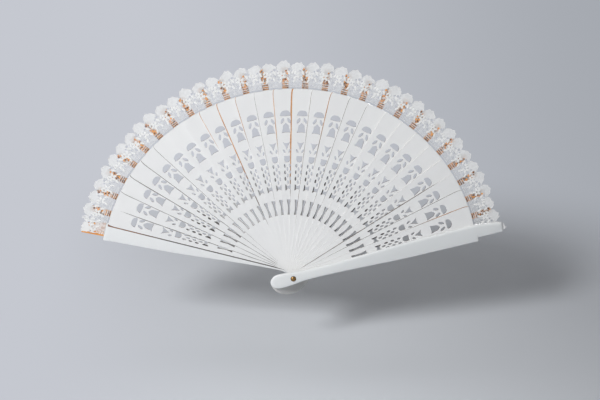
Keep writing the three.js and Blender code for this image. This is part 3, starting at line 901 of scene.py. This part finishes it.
def lace_petals(length):
    """Satin-stitched petals: a flower under each scallop, sprays of leaves between the flowers."""
    petals = []

    def petal(angle, radius, width, long, lean):
        if length.low + petal_margin < angle < length.high - petal_margin:
            petals.append((length.spot(angle, radius, petal_lift), lean + angle, width, long))

    for k in range(-3, 4):
        centre = scallop / 2 * k
        if (k % 2 == 0) == length.centred:
            centre += flower_shift / flower_radius
            for n in range(5):
                turn = 2 * math.pi * n / 5 + 0.3
                petal(centre + flower_ring * math.sin(turn) / flower_radius,
                      flower_radius + flower_ring * math.cos(turn), 2.3, 3.7, turn)
            petal(centre + 1.4 / inner_leaf, inner_leaf + 0.2, 1.8, 4.2, -0.6)
        else:
            petal(centre + 1.8 / outer_leaf, outer_leaf + 0.6, 2.0, 4.8, 0.4)
            petal(centre - 1.8 / outer_leaf, outer_leaf + 1.4, 1.9, 4.2, -0.5)
            petal(centre + 2.6 / inner_leaf, inner_leaf + 2.0, 1.9, 4.2, 0.5)
    return petals


def along_length(length, count, radius):
    """A thread that runs along the whole length, at a distance from the rivet given by radius."""
    angles = [length.low + (length.high - length.low) * i / count for i in range(count + 1)]
    return [length.spot(angle, radius(angle)) for angle in angles]


net = net_finish()
embroidery = thread_tree()
for place in range(rear_place + 1):
    length = Length(place)
    mesh = lace_sheet(length)
    mesh.materials.append(net)
    sheet = joined(f"net_{length.node}", [mesh])
    edge = along_length(length, 56, lambda angle: length.reach(angle) - edge_inset)
    hem = along_length(length, 12, lambda angle: lace_start + hem_inset)
    drawn = stitch_drawing([edge, hem], lace_petals(length), length)
    stitches = joined(f"stitches_{length.node}", [
        embroidery.grow(f"{length.node}_stitches", drawn, Thread=thread_radius * MM)])
    for piece in (sheet, stitches):
        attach(piece, length.body)
    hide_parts(length.node)
    wide = (length.high - length.low) * flat_radius * MM
    long = ((front_tip_end + lace_end_reach if place == 0 else lace_tip) - lace_start) * MM
    cover_share * wide * long

# The rivet: a turned brass pin with a domed head on the front guard, peened over a small brass
# washer behind the rear guard. It holds the whole stack together.
dome_radius = 2.65
dome_height = 1.7
shank_radius = 1.2
tail_radius = 2.2
tail_height = 1.0
washer_radius = 3.1
washer_thickness = 0.5
washer_bore = shank_radius + 0.1
washer_bevel = 0.1
seat_gap = 0.05


def brass_finish():
    """Polished brass with brown tarnish, darkest at the rim of the head: tarnish there, and a painted dark
    reflection.
    """
    material, wire = new_finish("polished_brass")
    place = wire.node("ShaderNodeTexCoord", None, "Object")
    tarnish = wire.noise(place, 700.0, 4.0)
    scratch = wire.noise(place, 3000.0, 2.0)
    relief = wire.bump(scratch, 0.08, 0.0001)
    across, _, up = wire.axes(place)
    # painted reflection: the head darkens towards its rim, for the dark surroundings it would mirror, with
    # tarnish there too
    rim = wire.maths("SQRT", across * across + up * up).step(0.0015, 0.0027)
    brown = wire.maths("MAXIMUM", rim * 0.85, tarnish.step(0.5, 0.9) * 0.35)
    close_finish(wire, Base_Color=wire.mix(brown, colour(158, 124, 80), colour(52, 36, 20)),
                 Metallic=1.0, Roughness=0.22 + tarnish * 0.1, Normal=relief)
    return material


brass = brass_finish()
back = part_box("rear_guard")[1].y / MM
tail_front = back + washer_thickness + 2 * seat_gap
rivet_profile = [(dome_radius * math.sin(t), -seat_gap - dome_height * math.cos(t))
                 for t in [math.pi / 2 * i / 10 for i in range(11)]]
rivet_profile += [(shank_radius, -seat_gap), (shank_radius, tail_front), (tail_radius, tail_front)]
rivet_profile += [(tail_radius * math.cos(t), tail_front + tail_height * math.sin(t))
                  for t in [math.pi / 2 * i / 8 for i in range(1, 9)]]
washer_front = back + seat_gap
washer_back = washer_front + washer_thickness
washer_profile = [(washer_bore, washer_front), (washer_radius - washer_bevel, washer_front),
                  (washer_radius, washer_front + washer_bevel), (washer_radius, washer_back - washer_bevel),
                  (washer_radius - washer_bevel, washer_back), (washer_bore, washer_back)]
for node, profile in (("pivot_rivet", rivet_profile), ("rivet_washer", washer_profile)):
    mesh = turned_piece(f"turned_{node}", profile)
    mesh.materials.append(brass)
    piece = joined(f"brass_{node}", [mesh])
    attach(piece, "front_guard")
    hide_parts(node)

# The studio: a wide pale floor well below the fan, which is held up in the air, a soft lamp high
# in front on the left, a wider one low behind on the right, and weak even light all round.
floor_drop = 0.075  # the studio and the camera are measured in metres
floor_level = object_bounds()[0].z - floor_drop
floor_half = 9
far_colour = colour(184, 188, 196)
fan_middle = (0, 0, 0.1)


def shown(wire):
    """1 for the rays that show what they meet: straight to the camera, in a mirror or through glass."""
    seen = wire.node("ShaderNodeLightPath", None, "Is Camera Ray")
    for ray in ("Is Glossy Ray", "Is Transmission Ray"):
        seen = wire.maths("MAXIMUM", seen, wire.node("ShaderNodeLightPath", None, ray))
    return seen


def paper_finish():
    """Pale paper, painted lighter on the left and darker on the right as painted light and shade. It is lit
    where the shadow falls, near the fan and to its right; elsewhere it shows a painted shade of its own, and
    far away the world's."""
    material, wire = new_finish("pale_paper")
    place = wire.node("ShaderNodeTexCoord", None, "Object")
    across, back, _ = wire.axes(place)
    # painted shade: the paper darkens to the right, where the light falls off
    rightward = across.step(0.0, 0.5)
    front_paper = wire.mix(rightward, colour(238, 242, 248), colour(222, 226, 233))
    back_paper = wire.mix(rightward, colour(242, 246, 252), colour(216, 220, 227))
    paper = wire.mix(back.step(-0.3, 0.35), front_paper, back_paper)
    lit = wire.node("ShaderNodeBsdfPrincipled", Base_Color=paper, Roughness=0.9)
    away = wire.maths("SQRT", across * across + back * back)
    aside = (across / (wire.maths("ABSOLUTE", back) + 1.0)).step(-0.1, 0.42)
    # painted shade: its own shade is darker to the right
    shade = wire.mix(aside, colour(197, 200, 208), colour(165, 169, 176))
    shade = wire.mix(away.step(3.0, 8.0), shade, far_colour)
    shade = wire.node("ShaderNodeEmission", Color=shade)
    near = (1.0 - away.step(0.38, 0.8)) * across.step(-0.3, 0.0)
    both = wire.node("ShaderNodeMixShader", _0=(1.0 - near) * shown(wire), _1=lit, _2=shade)
    wire.node("ShaderNodeOutputMaterial", Surface=both)
    return material


corners = [(x * floor_half, y * floor_half, floor_level) for x, y in ((-1, -1), (1, -1), (1, 1), (-1, 1))]
mesh = mesh_of("paper", corners, [], [(0, 1, 2, 3)])
mesh.materials.append(paper_finish())
joined("paper_floor", [mesh])

world = bpy.data.worlds.new("studio")
bpy.context.scene.world = world
world.use_nodes = True
world.node_tree.nodes.clear()
wire = Wire(world.node_tree)
glow = wire.node("ShaderNodeBackground", Color=(0.985, 0.99, 1.0, 1.0), Strength=0.09)
distance = wire.node("ShaderNodeBackground", Color=far_colour, Strength=1.0)
both = wire.node("ShaderNodeMixShader", _0=shown(wire), _1=glow, _2=distance)
wire.node("ShaderNodeOutputWorld", Surface=both)


def stood(name, data, place, turn):
    """A lamp or camera at a place, turned by a quaternion."""
    item = bpy.data.objects.new(name, data)
    item.location = place
    item.rotation_mode = "QUATERNION"
    item.rotation_quaternion = turn
    bpy.context.scene.collection.objects.link(item)
    return item


def softbox(name, place, aim, size, power):
    data = bpy.data.lights.new(name, "AREA")
    data.shape = "SQUARE"
    data.size = size
    data.energy = power
    stood(name, data, place, (Vector(aim) - Vector(place)).to_track_quat("-Z", "Y"))


softbox("key", place=(-0.82, -1.16, 0.94), aim=fan_middle, size=0.33, power=21.0)
softbox("back", place=(0.7, 2.5, 0.25), aim=fan_middle, size=0.6, power=26.0)

# The camera stands about a metre away, a little to the left of the fan, and looks slightly down
# on it, with the rivet below the middle of the picture.
elevation, azimuth, roll = math.radians(17.73), math.radians(6.52), math.radians(0.91)
camera_distance = 0.9898
focal_pixels = 1038.0
pivot_pixel = (293.3, 278.8)
picture = (600, 400)
sensor_width = 36.0
camera_turn = Matrix.Rotation(-azimuth, 3, "Z") @ Matrix.Rotation(math.pi / 2 - elevation, 3, "X")
camera_turn = Matrix.Rotation(-roll, 3, "Y") @ camera_turn
right, up, backward = camera_turn.col
camera_data = bpy.data.cameras.new("camera")
camera_data.sensor_width = sensor_width
camera_data.lens = focal_pixels * sensor_width / picture[0]
camera_data.clip_start = 0.01
camera_data.clip_end = 20.0
offset = right * (pivot_pixel[0] - picture[0] / 2) / focal_pixels
offset += up * (picture[1] / 2 - pivot_pixel[1]) / focal_pixels
camera_place = camera_distance * (backward - offset)
camera = stood("camera", camera_data, camera_place, camera_turn.to_quaternion())
bpy.context.scene.camera = camera
bpy.context.scene.view_settings.view_transform = "Standard"
